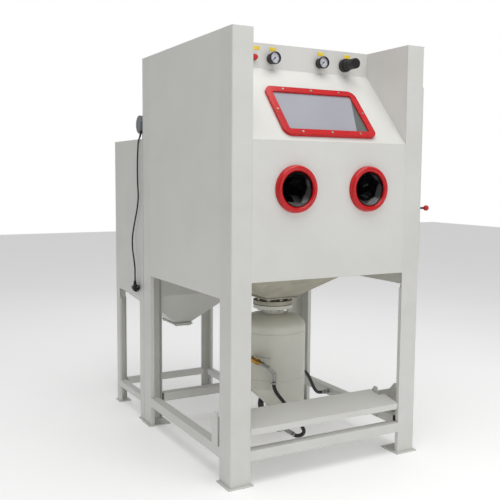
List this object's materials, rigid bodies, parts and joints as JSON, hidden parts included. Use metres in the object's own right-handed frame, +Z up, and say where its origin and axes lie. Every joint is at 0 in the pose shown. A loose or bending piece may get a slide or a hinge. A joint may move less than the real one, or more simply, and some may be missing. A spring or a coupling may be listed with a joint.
{
  "type": "sandblast cabinet",
  "caption": "Free-standing sandblast cabinet with sloping window, glove ports, foot treadle, slung pressure tank and a rear dust collector with a suction fan.",
  "frame": {"origin": "on the floor, at the centre of the anchor-hole pattern in the cabinet's four foot plates", "axes": "+X to the operator's right, +Y from the operator to the back, +Z up"},
  "size_m": [1.1465, 1.484, 1.92],
  "materials": {
    "panel_paint": "satin",
    "leg_paint": "satin",
    "inner_steel": "matt",
    "tank_paint": "satin",
    "collector_paint": "satin",
    "bare_steel": "satin",
    "brass": "satin",
    "red_plastic": "gloss",
    "black_plastic": "satin",
    "black_rubber": "matt",
    "grey_plastic": "satin",
    "window_glass": "gloss",
    "gauge_glass": "gloss",
    "filter_fabric": "matt",
    "motor_grey": "satin",
    "zinc": "satin"
  },
  "bodies": {
    "cabinet": {"left_side_panel": "panel_paint", "right_side_frame": "panel_paint", "front_panel": "panel_paint", "window_panel": "panel_paint", "control_panel": "panel_paint", "roof_panel": "panel_paint", "back_panel": "panel_paint", "wing_cheeks": "panel_paint", "leg_front_left": "leg_paint", "leg_front_right": "leg_paint", "rear_legs": "leg_paint", "foot_plates": "leg_paint", "bottom_rails": "leg_paint", "hopper": "inner_steel", "hopper_outlet": "bare_steel", "work_grate": "inner_steel", "seals": "black_rubber", "door_hinge_pins": "zinc", "window_frame": "red_plastic", "window_glass": "window_glass", "window_screws": "zinc", "glove_ring_left": "red_plastic", "glove_ring_right": "red_plastic", "glove_left": "black_rubber", "glove_right": "black_rubber", "push_button_collar": "grey_plastic", "gauge_cases": "black_plastic", "gauge_lenses": "gauge_glass", "regulator_body": "black_plastic", "treadle_brackets": "leg_paint", "foot_valve": "bare_steel", "tank_shell": "tank_paint", "flange_bolts": "zinc", "metering_valve": "brass", "tank_valve": "brass", "hose_fittings": "zinc", "air_hose": "black_rubber", "supply_hose": "black_rubber", "blast_hose": "black_rubber", "blast_nozzle": "bare_steel", "collector_panels": "collector_paint", "collector_frame": "leg_paint", "collector_hopper": "collector_paint", "filter_cartridges": "filter_fabric", "suction_fan": "motor_grey", "power_cord": "black_rubber", "power_plug": "black_plastic"},
    "door": {"side_door": "panel_paint"},
    "handle": {"door_handle": "red_plastic"},
    "treadle": {"treadle": "panel_paint"},
    "plunger": {"foot_valve_plunger": "zinc"},
    "button": {"push_button_cap": "red_plastic"},
    "knob": {"regulator_knob": "black_plastic"},
    "needle_left": {"gauge_needle_left": "black_plastic"},
    "needle_right": {"gauge_needle_right": "black_plastic"},
    "lever": {"tank_valve_lever": "zinc"},
    "pop_up": {"pop_up_valve": "black_rubber"},
    "gate": {"dust_gate": "zinc"},
    "wheel": {"fan_wheel": "zinc"},
    "metering": {"metering_knob": "black_plastic"}
  },
  "joints": [
    {"name": "door_swing", "type": "hinge", "parent": "cabinet", "child": "door", "pos_m": [0.539, 0.477, 1.33], "axis": [0, 0, 1], "range_deg": [0, 110]},
    {"name": "handle_turn", "type": "hinge", "parent": "door", "child": "handle", "pos_m": [0.54, -0.44, 1.174], "axis": [1, 0, 0], "range_deg": [0, 90]},
    {"name": "treadle_press", "type": "hinge", "parent": "cabinet", "child": "treadle", "pos_m": [0, -0.355, 0.262], "axis": [1, 0, 0], "range_deg": [0, 10], "stiffness_Nm_per_rad": 15, "springref_deg": -20.05},
    {"name": "plunger_slide", "type": "slide", "parent": "cabinet", "child": "plunger", "axis": [0, 0, -1], "range_m": [0, 0.0105]},
    {"name": "button_press", "type": "slide", "parent": "cabinet", "child": "button", "axis": [0, 1, 0], "range_m": [0, 0.004], "stiffness_N_per_m": 400, "springref_m": -0.002},
    {"name": "regulator_turn", "type": "hinge", "parent": "cabinet", "child": "knob", "pos_m": [0.263, -0.28, 1.854], "axis": [0, 1, 0], "range_deg": [-170, 170]},
    {"name": "needle_left_sweep", "type": "hinge", "parent": "cabinet", "child": "needle_left", "pos_m": [-0.143, -0.239, 1.854], "axis": [0, 1, 0], "range_deg": [0, 270]},
    {"name": "needle_right_sweep", "type": "hinge", "parent": "cabinet", "child": "needle_right", "pos_m": [0.122, -0.239, 1.854], "axis": [0, 1, 0], "range_deg": [0, 270]},
    {"name": "tank_lever_turn", "type": "hinge", "parent": "cabinet", "child": "lever", "pos_m": [-0.15922, -0.12153, 0.42946], "axis": [0, 0, 1], "range_deg": [-90, 0]},
    {"name": "pop_up_lift", "type": "slide", "parent": "cabinet", "child": "pop_up", "axis": [0, 0, 1], "range_m": [0, 0.025]},
    {"name": "gate_slide", "type": "slide", "parent": "cabinet", "child": "gate", "axis": [1, 0, 0], "range_m": [0, 0.09]},
    {"name": "fan_spin", "type": "hinge", "parent": "cabinet", "child": "wheel", "pos_m": [-0.3, 0.606, 1.592], "axis": [1, 0, 0], "continuous": true},
    {"name": "metering_turn", "type": "hinge", "parent": "cabinet", "child": "metering", "pos_m": [0, -0.05, 0.108], "axis": [0, -1, 0], "range_deg": [0, 340]}
  ],
  "couplings": [
    {"joint": "plunger_slide", "follows": "treadle_press", "m_per_rad": 0.056}
  ]
}
